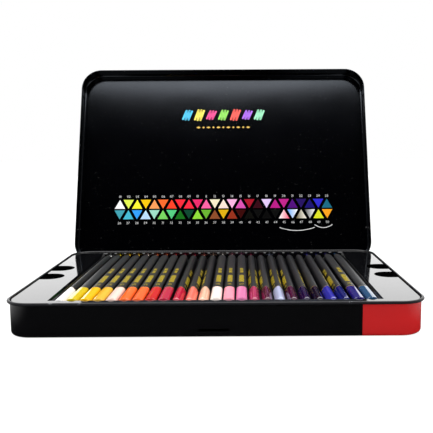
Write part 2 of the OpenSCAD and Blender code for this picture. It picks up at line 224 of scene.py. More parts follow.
@dataclass(frozen=True)
class Lacquer:
    """Gloss lacquer on tinplate, with the faint unevenness of roller coating."""

    lid_black: str = "000001"
    base_black: str = "08080a"
    red: str = "c81a1c"
    # Grey of the painted highlight line along the front of the rim's curl.
    rim: str = "1c1c20"
    steel: str = "84868a"
    # White of the painted glints on the lid's snap dimples.
    scuff: str = "f2f2f2"
    dust: str = "8d8c88"
    tint: Colour = (0.8, 0.88, 1.0, 1.0)
    lid_roughness: float = 0.13
    base_roughness: float = 0.15
    rim_roughness: float = 0.4
    lid_shine: float = 0.55
    base_shine: float = 0.5
    rim_shine: float = 0.3
    peel: float = 1.6 * MM
    peel_depth: float = 0.004 * MM
    dimple_x: float = 137.5 * MM
    dimple_z: float = 42.0 * MM
    thumb_x: float = -1 * MM
    thumb_z: float = 5.1 * MM
    thumb_half: float = 9.6 * MM

    def plain(self, name: str) -> bpy.types.Material:
        """Black all over, for the lid, with specks of dust and painted white glints on the snap dimples.

        The dimples are on the inside of the side walls, where X times the normal's X is under 0. Their
        glints are painted where they stand in from the wall, and only faintly on the wall round them.

        Args:
            name: The material's name.

        Returns:
            The finished material.
        """
        r = Recipe(name)
        x, _, z = r.axes()
        side = r.calc("ABSOLUTE", x)
        inner = r.ramp(r.times(x, r.axes("Normal")[0]), 0.0, -10 * MM)
        crest = r.ramp(side, self.dimple_x - 0.2 * MM, self.dimple_x + 0.2 * MM)
        proud = r.level(r.ramp(side, self.dimple_x + 2 * MM, self.dimple_x + 1.2 * MM), 0.12, 1.0)
        broken = r.ramp(r.grain(1.6 * MM, detail=1.0), 0.48, 0.56)
        # Painted highlight: white glints painted on the crests of the snap dimples, broken up by noise.
        scuff = r.times(crest, proud, r.near(z, self.dimple_z, 0.7 * MM, 0.3 * MM), inner, broken)
        speck = r.times(r.ramp(r.grain(0.8 * MM, detail=0.0), 0.83, 0.88), 0.3)
        ground = r.blend(speck, paint(self.lid_black), paint(self.dust))
        rub = r.grain(35 * MM, detail=3.0)
        return r.done(
            Base_Color=r.blend(scuff, ground, paint(self.scuff)),
            Roughness=r.level(rub, self.lid_roughness * 0.8, self.lid_roughness * 1.25),
            Specular_IOR_Level=self.lid_shine,
            Specular_Tint=self.tint,
            Normal=r.relief(r.grain(self.peel, detail=1.0), self.peel_depth),
        )

    def banded(self, name: str, start: float, top: float, nicks: tuple[float, ...]) -> bpy.types.Material:
        """Black with a red band round the outside of the right end, and the rim rubbed through.

        The outside is where X times the normal's X, plus the same for Y, is over 0. The thumb recess in
        the front wall is painted black and without shine, as painted shade, and the front of the rim's
        curl is painted grey, rougher and less shiny, as a painted highlight line.

        Args:
            name: The material's name.
            start: The X where the band starts.
            top: The height where the band ends, under the rim.
            nicks: The X of each place where the rim is rubbed through to the steel.

        Returns:
            The finished material.
        """
        r = Recipe(name)
        x, y, z = r.axes()
        nx, ny, _ = r.axes("Normal")
        outward = r.calc("ADD", r.times(x, nx), r.times(y, ny))
        front = r.ramp(y, 0.0, -10 * MM)
        band = r.times(r.ramp(x, start - 0.04 * MM, start + 0.04 * MM), r.ramp(outward, 0, 5 * MM),
                       r.ramp(z, top + 0.1 * MM, top - 0.1 * MM))
        # Painted highlight: the front of the rim's curl is painted grey, and made rougher and less shiny.
        curl = r.times(r.ramp(z, top + 0.3 * MM, top + 0.7 * MM), r.ramp(y, -75 * MM, -85 * MM))
        # Painted shade: the thumb recess in the front wall is painted black, with no shine.
        thumb = r.times(r.near(z, self.thumb_z, 0.95 * MM, 0.8 * MM),
                        r.near(x, self.thumb_x, self.thumb_half + 0.6 * MM, self.thumb_half), front)
        rubbed: Value = 0.0
        for place in nicks:
            rubbed = r.calc("MAXIMUM", rubbed, r.near(x, place, 1.6 * MM, 0.6 * MM))
        bare = r.times(rubbed, r.ramp(r.grain(0.7 * MM, detail=3.0), 0.5, 0.62), front,
                       r.ramp(z, top + 0.9 * MM, top + 1.5 * MM))
        colour = r.blend(band, paint(self.base_black), paint(self.red))
        colour = r.blend(curl, colour, paint(self.rim))
        colour = r.blend(bare, colour, paint(self.steel))
        rub = r.grain(30 * MM, detail=3.0)
        wall = r.level(rub, self.base_roughness * 0.9, self.base_roughness * 1.5)
        return r.done(
            Base_Color=r.blend(thumb, colour, BLACK),
            Metallic=bare,
            Roughness=r.level(curl, wall, self.rim_roughness),
            Specular_IOR_Level=r.level(thumb, r.level(curl, self.base_shine, self.rim_shine), 0.0),
            Normal=r.relief(r.grain(self.peel, detail=1.0), self.peel_depth),
        )


@dataclass(frozen=True)
class FormedPlastic:
    """Thin black plastic drawn over a mould: glossy, gently uneven, a little dusty, matt and darkened in
    its grooves by painted shade.
    """

    black: str = "08080a"
    dust: str = "8d8c88"
    roughness: float = 0.07
    groove_roughness: float = 0.5
    shine: float = 0.5
    # Lower shine in the grooves, which darkens them as painted shade.
    groove_shine: float = 0.15
    dust_roughness: float = 0.6
    wave: float = 14 * MM
    wave_depth: float = 0.012 * MM
    grooves_end: float = 86 * MM

    def material(self, name: str, flange: float) -> bpy.types.Material:
        """The finish, with dust only on what faces up, and matt well below the flange, with less shine
        there as painted shade.

        Args:
            name: The material's name.
            flange: Height of the flange's top.

        Returns:
            The finished material.
        """
        r = Recipe(name)
        _, y, z = r.axes()
        # Painted shade: in the grooves, well below the flange, the shine is lowered to darken them, and the
        # roughness raised.
        deep = r.times(r.ramp(z, flange - 1 * MM, flange - 3 * MM),
                       r.ramp(y, self.grooves_end + 2 * MM, self.grooves_end))
        facing_up = r.ramp(r.axes("Normal")[2], 0.7, 0.95)
        dusty = r.times(r.ramp(r.grain(0.9 * MM, detail=0.0), 0.80, 0.86), facing_up, 0.35)
        clean = r.level(deep, self.roughness, self.groove_roughness)
        return r.done(
            Base_Color=r.blend(dusty, paint(self.black), paint(self.dust)),
            Roughness=r.level(dusty, clean, self.dust_roughness),
            Specular_IOR_Level=r.level(deep, self.shine, self.groove_shine),
            Normal=r.relief(r.grain(self.wave, detail=1.0), self.wave_depth),
        )


@dataclass(frozen=True)
class DrawnWire:
    """Bright steel wire with fine lines along X from the die."""

    steel: str = "b9bbbf"
    roughness: tuple[float, float] = (0.22, 0.38)

    def material(self, name: str) -> bpy.types.Material:
        """The finish.

        Args:
            name: The material's name.

        Returns:
            The finished material.
        """
        r = Recipe(name)
        lines = r.grain(0.15 * MM, stretch=(0.05, 1, 1))
        return r.done(
            Base_Color=paint(self.steel),
            Metallic=1.0,
            Roughness=r.level(lines, *self.roughness),
            Normal=r.relief(lines, 0.003 * MM),
        )


@dataclass(frozen=True)
class Foil:
    """Hot-stamped gold foil, slightly broken where the lacquer under it is rough."""

    gold: str = "c8b024"
    worn: str = "5c5010"
    roughness: float = 0.36
    worn_roughness: float = 0.55

    def material(self, name: str) -> bpy.types.Material:
        """The finish.

        Args:
            name: The material's name.

        Returns:
            The finished material.
        """
        r = Recipe(name)
        worn = r.ramp(r.grain(0.35 * MM, detail=3.0), 0.58, 0.72)
        return r.done(
            Base_Color=r.blend(worn, paint(self.gold), paint(self.worn)),
            Metallic=r.level(worn, 0.25, 0.1),
            Roughness=r.level(worn, self.roughness, self.worn_roughness),
        )


@dataclass(frozen=True)
class Ink:
    """Printing ink under a clear varnish, with its colours held by the mesh."""

    attribute: str = "ink"
    roughness: float = 0.3
    specular: float = 0.12
    screen: float = 0.08

    def material(self, name: str) -> bpy.types.Material:
        """The finish, with the faint dot of the printing screen.

        Args:
            name: The material's name.

        Returns:
            The finished material.
        """
        r = Recipe(name)
        ink = r.add("ShaderNodeAttribute", {}, attribute_name=self.attribute).outputs["Color"]
        dots = r.ramp(r.grain(0.3 * MM, detail=1.0), 0.35, 0.65)
        return r.done(
            Base_Color=r.blend(dots, ink, r.blend(self.screen, ink, BLACK)),
            Roughness=self.roughness,
            Specular_IOR_Level=self.specular,
        )


@dataclass(frozen=True)
class PencilShape:
    """Sizes of one pencil, as in the frame. Its front end is dipped and its tip is at the back."""

    length: float = 175 * MM
    front: float = -85.0 * MM
    dip: float = 33.3 * MM
    ring: float = 0.8 * MM
    lead: float = 1.65 * MM
    tip: float = 0.4 * MM
    cone: float = math.radians(9.2)
    edge_offset: float = 1.95 * MM
    edge_radius: float = 2.0 * MM
    side_radius: float = 6.5 * MM
    pitch: float = 8.707 * MM

    @property
    def side_centre(self) -> float:
        """Distance beyond the axis of the centre of a bulged side's arc.

        It is the root of the difference of both radii squared less the edges' half spread squared, less
        the edges' own distance towards the side.
        """
        spread = self.edge_offset * math.sin(math.radians(60))
        return math.sqrt((self.side_radius - self.edge_radius) ** 2 - spread**2) - self.edge_offset / 2

    @property
    def side_span(self) -> float:
        """Half the angle of a side's arc: its tangent is the edges' half spread over their distance."""
        spread = self.edge_offset * math.sin(math.radians(60))
        return math.atan2(spread, self.edge_offset / 2 + self.side_centre)

    def axis_x(self, number: int) -> float:
        """X of a pencil's axis, from its number in the tray."""
        return (number - (PENCILS_IN_TRAY + 1) / 2) * self.pitch

    def axis_height(self, roll: float) -> float:
        """Height of the axis over the groove, on a side's arc or on an edge, whichever is lowest.

        Args:
            roll: How far the pencil is rolled from lying with an edge up, in degrees.

        Returns:
            The height.
        """
        lean = abs(math.radians((roll + 420) % 120 - 60))
        if lean < self.side_span:
            return self.side_radius - self.side_centre * math.cos(lean)
        return self.edge_radius + self.edge_offset * math.cos(math.radians(60) - lean)


@dataclass(frozen=True)
class PencilFinish:
    """Matte lacquer on the barrel, gloss paint on the dipped end, a gold ring, black dyed wood and lead."""

    barrel: str = "0c0c0e"
    barrel_worn: str = "151518"
    wood: str = "1d1a18"
    wood_dark: str = "0e0c0b"
    gold: str = "d9ae45"
    barrel_roughness: tuple[float, float] = (0.42, 0.6)
    dip_roughness: float = 0.09
    ring_roughness: float = 0.3
    wood_roughness: float = 0.7
    # Shine of the barrel's top, and the lower shine of its sides, which darkens them as painted shade.
    barrel_shine: tuple[float, float] = (0.55, 0.06)
    # Shine of the dipped end, and the raised shine round its front end for a painted glint.
    dip_shine: tuple[float, float] = (0.26, 0.9)
    blur: float = 0.05 * MM
    bead: float = 1.2 * MM
    shape: PencilShape = PencilShape()

    def material(self, name: str, colour: str, z: float) -> bpy.types.Material:
        """The finish of one pencil, laid out along its axis.

        The cut wood is where the normal leans towards the tip, and the lead is where the cone's radius,
        the tip's radius plus the way to the tip times the cone's slope, is under the lead's. The shine is
        raised round the front end for a painted glint there, and the barrel's shine is high along its top
        and cut low on its sides and underside, which darkens them as painted shade.

        Args:
            name: The material's name.
            colour: Hex code of the dipped end and the lead.
            z: Height of the pencil's axis.

        Returns:
            The finished material.
        """
        s = self.shape
        r = Recipe(name)
        _, py, pz = r.axes()
        dip_end = s.front + s.dip
        ring_end = dip_end + s.ring
        wave = r.times(r.calc("SUBTRACT", r.grain(1.5 * MM), 0.5), 0.3 * MM)
        dipped = r.ramp(r.calc("ADD", py, wave), dip_end + self.blur, dip_end - self.blur)
        ring = r.ramp(py, ring_end + self.blur, ring_end - self.blur)
        ring = r.times(ring, r.calc("SUBTRACT", 1.0, dipped))
        to_tip = r.calc("SUBTRACT", s.front + s.length, py)
        cone_radius = r.calc("ADD", s.tip, r.times(to_tip, math.tan(s.cone)))
        cut = r.times(r.ramp(r.axes("Normal")[1], 0.08, 0.12), r.ramp(py, 0.0, 10 * MM))
        lead = r.times(cut, r.ramp(cone_radius, s.lead + 0.03 * MM, s.lead - 0.03 * MM))
        speckle = r.grain(0.25 * MM, detail=3.0)
        rubbed = r.ramp(r.grain(6 * MM, detail=4.0), 0.35, 0.75)
        fibres = r.grain(0.5 * MM, stretch=(1, 0.06, 1), detail=4.0)
        shade = r.blend(rubbed, paint(self.barrel), paint(self.barrel_worn))
        shade = r.blend(ring, shade, paint(self.gold))
        shade = r.blend(cut, shade, r.blend(fibres, paint(self.wood), paint(self.wood_dark)))
        shade = r.blend(lead, shade, r.blend(r.times(speckle, 0.25), paint(colour), BLACK))
        rough = r.level(ring, r.level(speckle, *self.barrel_roughness), self.ring_roughness)
        rough = r.level(cut, rough, self.wood_roughness)
        gilt = r.level(r.grain(1.1 * MM), 0.5, 1.0)
        # Painted shade: the barrel's shine is cut low below its top, darkening its sides and underside.
        top_shine_side_shade = r.level(r.ramp(pz, z + 3.0 * MM, z + 1.2 * MM), *self.barrel_shine)
        # Painted highlight: the shine is raised round the front end for a glint there.
        painted = r.level(r.ramp(py, s.front + 2 * self.bead, s.front + self.bead), *self.dip_shine)
        peel = r.times(r.grain(2.2 * MM, detail=0.0), dipped, 0.4)
        tooth = r.times(speckle, r.level(dipped, 0.25, 0.0))
        return r.done(
            Base_Color=r.blend(dipped, shade, paint(colour)),
            Metallic=r.times(ring, gilt, 0.4),
            Roughness=r.level(dipped, rough, self.dip_roughness),
            Specular_IOR_Level=r.level(dipped, top_shine_side_shade, painted),
            Normal=r.relief(r.calc("ADD", peel, tooth), 0.02 * MM),
        )


def add_piece(name: str, points: np.ndarray, faces: list[list[int]], finish: bpy.types.Material, body: str,
              colours: np.ndarray | None = None) -> None:
    """Puts arrays of points and faces into a new piece that rides on a body.

    Args:
        name: The piece's name.
        points: One row of X, Y and Z for each vertex.
        faces: Lists of vertex numbers, counter-clockwise from outside.
        finish: The piece's material.
        body: The body it rides on.
        colours: One linear colour for each vertex, for printed pieces.
    """
    mesh = bpy.data.meshes.new(name)
    mesh.from_pydata(points.tolist(), [], faces)
    if colours is not None:
        layer = mesh.color_attributes.new(Ink.attribute, "FLOAT_COLOR", "POINT")
        layer.data.foreach_set("color", colours.astype(np.float32).ravel())
    mesh.materials.append(finish)
    mesh.update()
    piece = bpy.data.objects.new(name, mesh)
    bpy.context.scene.collection.objects.link(piece)
    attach(piece, body)
    log.info("%s: %d vertices on %s", name, len(points), body)


@dataclass
class Slabs:
    """Thin closed slabs that are gathered on a plane, before they are laid on the object."""

    thickness: float
    corners: list[np.ndarray] = field(default_factory=list)
    faces: list[list[int]] = field(default_factory=list)
    colours: list[np.ndarray] = field(default_factory=list)
    size: int = 0

    def _keep(self, points: np.ndarray, colours: np.ndarray) -> None:
        """Keeps points and their colours, and counts them.

        Args:
            points: Rows of two places on the plane and a height.
            colours: One linear colour for each point.
        """
        self.corners.append(points)
        self.colours.append(colours)
        self.size += len(points)

    def add(self, shape: np.ndarray, colour: Colour | np.ndarray = BLACK) -> None:
        """Adds one slab over a convex outline.

        Its vertices are the outline at height 0 and again at the thickness.

        Args:
            shape: Corners of the outline, counter-clockwise.
            colour: One linear colour, or one for each corner. A slab whose material holds its colour
                has no need of it.
        """
        n = len(shape)
        low = np.column_stack([shape, np.zeros(n)])
        first = self.size + np.arange(n)
        after = np.roll(first, -1)
        self.faces.append(first[::-1].tolist())
        self.faces.append((first + n).tolist())
        self.faces += np.column_stack([first, after, after + n, first + n]).tolist()
        shades = np.broadcast_to(colour, (n, 4))
        self._keep(np.concatenate([low, low + [0, 0, self.thickness]]), np.concatenate([shades, shades]))

    def add_ribbon(self, line: np.ndarray, width: float, colour: Colour) -> None:
        """Adds one stroke along a line, with rounded ends.

        Each point of the line is carried half the width to both sides, along the line's normal. Near an
        end the half width is that of a circle: the root of the radius squared less the rest squared.

        Args:
            line: Points of the stroke's middle.
            width: Width of the stroke.
            colour: One linear colour.
        """
        step = np.gradient(line, axis=0)
        step /= np.linalg.norm(step, axis=1, keepdims=True)
        normal = np.column_stack([-step[:, 1], step[:, 0]])
        run = np.concatenate([[0], np.cumsum(np.linalg.norm(np.diff(line, axis=0), axis=1))])
        radius = width / 2
        narrowest = 0.98 * radius
        rest = np.clip(radius - np.minimum(run, run[-1] - run), 0, narrowest)
        half = np.sqrt(radius**2 - rest**2)[:, None]
        n = len(line)
        left = np.column_stack([line + half * normal, np.zeros(n)])
        right = np.column_stack([line - half * normal, np.zeros(n)])
        lift = [0, 0, self.thickness]
        rings = np.stack([left, right, right + lift, left + lift], axis=1).reshape(-1, 3)
        ring = np.arange(4)
        begin = self.size + 4 * np.arange(n - 1)[:, None]
        here, beside = begin + ring, begin + np.roll(ring, -1)
        walls = np.stack([here, beside, beside + 4, here + 4], axis=2).reshape(-1, 4)
        self.faces += walls[:, ::-1].tolist()
        self.faces.append((self.size + ring).tolist())
        self.faces.append((self.size + 4 * (n - 1) + ring)[::-1].tolist())
        self._keep(rings, np.broadcast_to(colour, (4 * n, 4)))

    def add_mesh(self, points: np.ndarray, faces: list[list[int]], colour: Colour) -> None:
        """Adds a closed mesh as it is.

        Args:
            points: Its vertices.
            faces: Its lists of vertex numbers.
            colour: One linear colour.
        """
        self.faces += [[corner + self.size for corner in face] for face in faces]
        self._keep(points, np.broadcast_to(colour, (len(points), 4)))

    def points(self) -> np.ndarray:
        """Every vertex, as rows of two places on the plane and a height."""
        return np.concatenate(self.corners)

    def shades(self) -> np.ndarray:
        """Every vertex's colour."""
        return np.concatenate(self.colours)


class Figures:
    """Plain numerals cut from thin sheet, one mesh for each figure, put together into numbers."""

    levels: int = 8
    gap: float = 0.16

    def __init__(self, thickness: float) -> None:
        """Makes the ten figures, 1 high, from the built-in face.

        Args:
            thickness: Thickness of the sheet, at the height the numbers are used.
        """
        self.thickness = thickness
        self.figures = [self._cut(str(n)) for n in range(10)]

    def _cut(self, text: str) -> tuple[np.ndarray, list[list[int]], float]:
        """Cuts one figure, split at even levels so that it can bend round a pencil.

        Args:
            text: The figure.

        Returns:
            Its vertices, on a height and a thickness of 1, its faces and its width.
        """
        curve = bpy.data.curves.new("figure", "FONT")
        curve.body = text
        curve.resolution_u = 3
        curve.extrude = 0.5
        holder = bpy.data.objects.new("figure", curve)
        bpy.context.scene.collection.objects.link(holder)
        sheet = bpy.data.meshes.new_from_object(holder.evaluated_get(bpy.context.evaluated_depsgraph_get()))
        up = vertices_of(sheet)[:, 1]
        cutter = bmesh.new()
        cutter.from_mesh(sheet)
        for level in np.linspace(up.min(), up.max(), self.levels)[1:-1]:
            whole = [*cutter.verts, *cutter.edges, *cutter.faces]
            bmesh.ops.bisect_plane(cutter, geom=whole, plane_co=(0, level, 0), plane_no=(0, 1, 0))
        cutter.to_mesh(sheet)
        cutter.free()
        points = vertices_of(sheet)
        faces = [list(face.vertices) for face in sheet.polygons]
        low, high = points.min(axis=0), points.max(axis=0)
        points = (points - low) / (high[1] - low[1])
        points[:, 2] /= points[:, 2].max()
        bpy.data.objects.remove(holder)
        bpy.data.curves.remove(curve)
        bpy.data.meshes.remove(sheet)
        return points, faces, float(points[:, 0].max())

    def write(self, slabs: Slabs, number: int, centre: tuple[float, float], height: float,
              colour: Colour = BLACK) -> None:
        """Writes a number of two figures, centred on a point.

        Args:
            slabs: Where the figures are added.
            number: The number, from 1 to 99.
            centre: The middle of the number.
            height: Height of the figures.
            colour: One linear colour.
        """
        pair = [self.figures[digit] for digit in divmod(number, 10)]
        start = -(sum(width for _, _, width in pair) + self.gap) / 2
        for points, faces, width in pair:
            placed = points * [height, height, self.thickness]
            placed += [centre[0] + start * height, centre[1] - height / 2, 0]
            slabs.add_mesh(placed, faces, colour)
            start += width + self.gap


class Mark(Enum):
    """The sides of a pencil that carry foil marks, as angles seen from the front."""

    TOP = (90,)
    LEFT = (150,)
    RIGHT = (30,)
    BOTH = (150, 30)
    UNDER = (270,)


@dataclass(frozen=True)
class BarRow:
    """A row of slanted foil bars, which may leave one bar out."""

    start: float
    pitch: float
    width: float
    height: float
    count: int
    left_out: int | None = None
    slant: float = 0.1

    def stamp(self, slabs: Slabs, strips: int) -> None:
        """Adds the row's bars, each cut across into strips that can follow a side's arc.

        Args:
            slabs: Where the bars are added.
            strips: How many strips make a bar.
        """
        for bar in range(self.count):
            if bar == self.left_out:
                continue
            left = self.start + bar * self.pitch
            for step in range(strips):
                low, high = ((step + end) / strips * self.height - self.height / 2 for end in (0, 1))
                lower, upper = left + self.slant * low, left + self.slant * high
                slabs.add(np.array([[lower, low], [lower + self.width, low],
                                    [upper + self.width, high], [upper, high]]))


@dataclass
class PencilSet:
    """One tray's twenty-five pencils: their finishes and their foil marks.

    A carrier is the body that all of them ride on. Without one, each rides on its own body.
    """

    layer: str
    colours: dict[str, str]
    rolls: tuple[int, ...]
    marks: tuple[Mark, ...]
    first_number: int
    carrier: str | None = None
    shape: PencilShape = PencilShape()
    finish: PencilFinish = PencilFinish()
    groove: float = -6.554 * MM
    rest: float = 0.3 * MM
    foil_lift: float = 0.02 * MM
    foil_thickness: float = 0.03 * MM
    strips: int = 7
    number_along: float = -43.6 * MM
    number_height: float = 3.2 * MM
    rows: tuple[BarRow, ...] = (
        BarRow(-36.3 * MM, 2.1 * MM, 1.45 * MM, 3.7 * MM, 11),
        BarRow(-4.6 * MM, 1.7 * MM, 1.1 * MM, 2.6 * MM, 10, left_out=5),
    )

    def pencil(self, index: int) -> str:
        """Name of a pencil's node, by its place in the tray from 0."""
        return f"{self.layer}_pencil_{index + 1:02d}"

    def axis(self, index: int) -> tuple[float, float]:
        """X and Z of a pencil's axis, by its place in the tray from 0."""
        lowest = flange_top(f"{self.layer}_tray") + self.groove + self.rest
        return self.shape.axis_x(index + 1), lowest + self.shape.axis_height(self.rolls[index])

    def dress(self, nodes: Nodes) -> None:
        """Gives each pencil of the frame its finish.

        Args:
            nodes: The frame's nodes by name.
        """
        for index, colour in enumerate(self.colours.values()):
            name = self.pencil(index)
            _, z = self.axis(index)
            nodes[name].data.materials[0] = self.finish.material(name, colour, z)
            log.info("%s: dressed", name)

    def layout(self, number: int, figures: Figures) -> Slabs:
        """The foil marks of one pencil: its number, a bold row of bars and a finer one.

        Args:
            number: The pencil's number.
            figures: The figures to write it with.

        Returns:
            The marks on a plane, with the pencil's axis along its first direction.
        """
        slabs = Slabs(self.foil_thickness)
        figures.write(slabs, number, (self.number_along, 0.0), self.number_height)
        for row in self.rows:
            row.stamp(slabs, self.strips)
        return slabs

    def stamp(self, figures: Figures, foil: bpy.types.Material) -> None:
        """Stamps the marks on the pencils' bulged sides.

        A mark is rolled onto a side's arc: its rows run along Y, and its height becomes an angle about
        the arc's centre, the height over the radius. Each point then lies out along the direction at
        that angle, by the radius and the foil's own height.

        Args:
            figures: The figures to write the numbers with.
            foil: The foil's material.
        """
        back = self.shape.side_centre
        for index, mark in enumerate(self.marks):
            x, z = self.axis(index)
            roll = self.rolls[index]
            lean = roll if roll < 90 else roll - 180
            slabs = self.layout(self.first_number + index, figures)
            flat = slabs.points()
            away = self.shape.side_radius + self.foil_lift + flat[:, 2]
            rolled, faces = [], []
            for side, angle in enumerate(mark.value):
                out = math.radians(angle - lean)
                turn = out + flat[:, 1] / self.shape.side_radius
                rolled.append(np.column_stack([x - back * math.cos(out) + away * np.cos(turn), flat[:, 0],
                                               z - back * math.sin(out) + away * np.sin(turn)]))
                faces += [[corner + side * len(flat) for corner in face] for face in slabs.faces]
            pencil = self.pencil(index)
            add_piece(f"foil_{self.layer}_{index + 1:02d}", np.concatenate(rolled), faces, foil,
                      self.carrier or pencil)


@dataclass(frozen=True)
class Arc:
    """A thin arc under the chart, from its ends, the height of its ends and how far it drops."""

    left: float
    right: float
    top: float
    drop: float


@dataclass
class LidPrint:
    """What is printed inside the lid: a row of scribbled colours over the chart of the fifty pencils.

    It is laid out on the closed lid, seen from below, with up towards the front, and then turned
    about the hinge to the open angle.
    """

    hinge_y: float
    hinge_z: float
    open_angle: float
    inner_z: float = 25.5 * MM
    lift: float = 0.01 * MM
    thickness: float = 0.03 * MM
    chart_pitch: float = 8.483 * MM
    row_up: tuple[float, float] = (-38.1 * MM, -48.6 * MM)
    swatch_width: float = 10.3 * MM
    swatch_height: float = 9.0 * MM
    number_up: tuple[float, float] = (-30.4 * MM, -56.8 * MM)
    number_height: float = 2.3 * MM
    number_colour: str = "cfcfcf"
    metallic_arc: Arc = Arc(54.6 * MM, 89.4 * MM, -62.1 * MM, 3.1 * MM)
    neon_arc: Arc = Arc(89.0 * MM, 106.8 * MM, -59.3 * MM, 3.2 * MM)
    arc_width: float = 0.7 * MM
    arc_colour: str = "dcdcdc"
    scribble_up: float = 53.9 * MM
    scribble_pitch: float = 12.1 * MM
    scribble_spread: float = 7.4 * MM
    scribble_slant: float = 1.3 * MM
    scribble_reach: float = 4.9 * MM
    scribble_change: float = 0.7 * MM
    scribble_strokes: int = 5
    scribble_sharpness: float = 0.94
    pen: float = 1.8 * MM
    lozenge_count: int = 11
    lozenge_up: float = 40.8 * MM
    lozenge_pitch: float = 5.0 * MM
    lozenge_half: tuple[float, float] = (2.2 * MM, 1.2 * MM)
    lozenge_half_height: float = 1.1 * MM
    lozenge_colour: str = "d8b45a"

    @classmethod
    def on_hinge(cls) -> "LidPrint":
        """The print on a lid that turns about the frame's hinge.

        Returns:
            The print, laid out for the frame's open lid.
        """
        hinge = next(joint for joint in frame["joints"] if joint["name"] == "lid_hinge")
        _, y, z = hinge["pos_m"]
        return cls(y, z, math.radians(hinge["range_deg"][0]))

    def on_lid(self, flat: np.ndarray) -> np.ndarray:
        """Carries a layout on a plane to the lid's inner face.

        The second direction is turned to -Y and the height to -Z of the closed lid, and both are then
        turned about the hinge: Y times the cosine less Z times the sine, and Y times the sine plus Z
        times the cosine.

        Args:
            flat: Rows of across, up and height.

        Returns:
            Rows of X, Y and Z.
        """
        y = -flat[:, 1] - self.hinge_y
        z = self.inner_z - self.lift - flat[:, 2] - self.hinge_z
        cosine, sine = math.cos(self.open_angle), math.sin(self.open_angle)
        return np.column_stack([flat[:, 0], self.hinge_y + cosine * y - sine * z,
                                self.hinge_z + sine * y + cosine * z])

    def lay(self, name: str, slabs: Slabs, finish: bpy.types.Material) -> None:
        """Lays gathered slabs on the lid as one piece."""
        add_piece(name, self.on_lid(slabs.points()), slabs.faces, finish, "lid", slabs.shades())

    def swatches(self, rows: tuple[dict[str, str], ...], finish: bpy.types.Material) -> None:
        """Prints two rows of triangles that point up and down in turn.

        A code of two colours joined by > fades from the left corner to the right one.

        Args:
            rows: The named colour codes of both rows.
            finish: The ink.
        """
        slabs = Slabs(self.thickness)
        w, h = self.swatch_width / 2, self.swatch_height / 2
        for row, codes in enumerate(rows):
            for column, code in enumerate(codes.values()):
                ends = [np.array(paint(part)) for part in code.split(">")]
                middle = (ends[0] + ends[-1]) / 2
                up = 1 if (column + row) % 2 == 0 else -1
                shape = np.array([[-w, -h * up], [w, -h * up], [0, h * up]])
                shades = np.array([ends[0], ends[-1], middle])
                centre = [(column - (len(codes) - 1) / 2) * self.chart_pitch, self.row_up[row]]
                slabs.add((shape + centre)[::up], shades[::up])
        self.lay("chart_swatches", slabs, finish)

    def numbers(self, figures: Figures, finish: bpy.types.Material) -> None:
        """Prints the plain numbers 1 to 50 over and under the two rows.

        Args:
            figures: The figures to write them with.
            finish: The ink.
        """
        slabs = Slabs(self.thickness)
        for index in range(2 * PENCILS_IN_TRAY):
            row, column = divmod(index, PENCILS_IN_TRAY)
            centre = ((column - (PENCILS_IN_TRAY - 1) / 2) * self.chart_pitch, self.number_up[row])
            figures.write(slabs, index + 1, centre, self.number_height, paint(self.number_colour))
        self.lay("chart_numbers", slabs, finish)

    def arcs(self, finish: bpy.types.Material) -> None:
        """Prints the two thin arcs that bracket the special colours.

        Each is a shallow parabola: its drop times four times the share of the way, times the rest.

        Args:
            finish: The ink.
        """
        slabs = Slabs(self.thickness)
        way = np.linspace(0, 1, 41)
        for arc in (self.metallic_arc, self.neon_arc):
            line = np.column_stack([arc.left + (arc.right - arc.left) * way,
                                    arc.top - arc.drop * 4 * way * (1 - way)])
            slabs.add_ribbon(line, self.arc_width, paint(self.arc_colour))
        self.lay("chart_arcs", slabs, finish)

    def scribbles(self, colours: dict[str, str], finish: bpy.types.Material) -> None:
        """Prints a row of hatched scribbles, each a line that runs up and down and leans.

        The line is a triangle wave with rounded turns: its height is the arcsine of the sharpness times
        the sine of the turns, over the arcsine of the sharpness, and its foot moves on steadily. The
        reach changes a little from one scribble to the next, by a sine.

        Args:
            colours: The named colour code of each scribble.
            finish: The ink.
        """
        slabs = Slabs(self.thickness)
        way = np.linspace(0, 1, 161)
        turns = np.sin(way * math.pi * self.scribble_strokes - math.pi / 2)
        height = np.arcsin(self.scribble_sharpness * turns) / math.asin(self.scribble_sharpness)
        for index, code in enumerate(colours.values()):
            reach = self.scribble_reach + self.scribble_change * math.sin(2.1 * index)
            centre = (index - (len(colours) - 1) / 2) * self.scribble_pitch
            across = centre + (way - 0.5) * self.scribble_spread + height * self.scribble_slant
            line = np.column_stack([across, self.scribble_up + height * reach])
            slabs.add_ribbon(line, self.pen, paint(code))
        self.lay("lid_scribbles", slabs, finish)

    def lozenges(self, finish: bpy.types.Material) -> None:
        """Prints a line of small gold lozenges, long and short in turn.

        Args:
            finish: The ink.
        """
        slabs = Slabs(self.thickness)
        h = self.lozenge_half_height
        for index in range(self.lozenge_count):
            w = self.lozenge_half[index % 2]
            centre = [(index - (self.lozenge_count - 1) / 2) * self.lozenge_pitch, self.lozenge_up]
            slabs.add(np.array([[-w, 0], [0, -h], [w, 0], [0, h]]) + centre, paint(self.lozenge_colour))
        self.lay("lid_lozenges", slabs, finish)


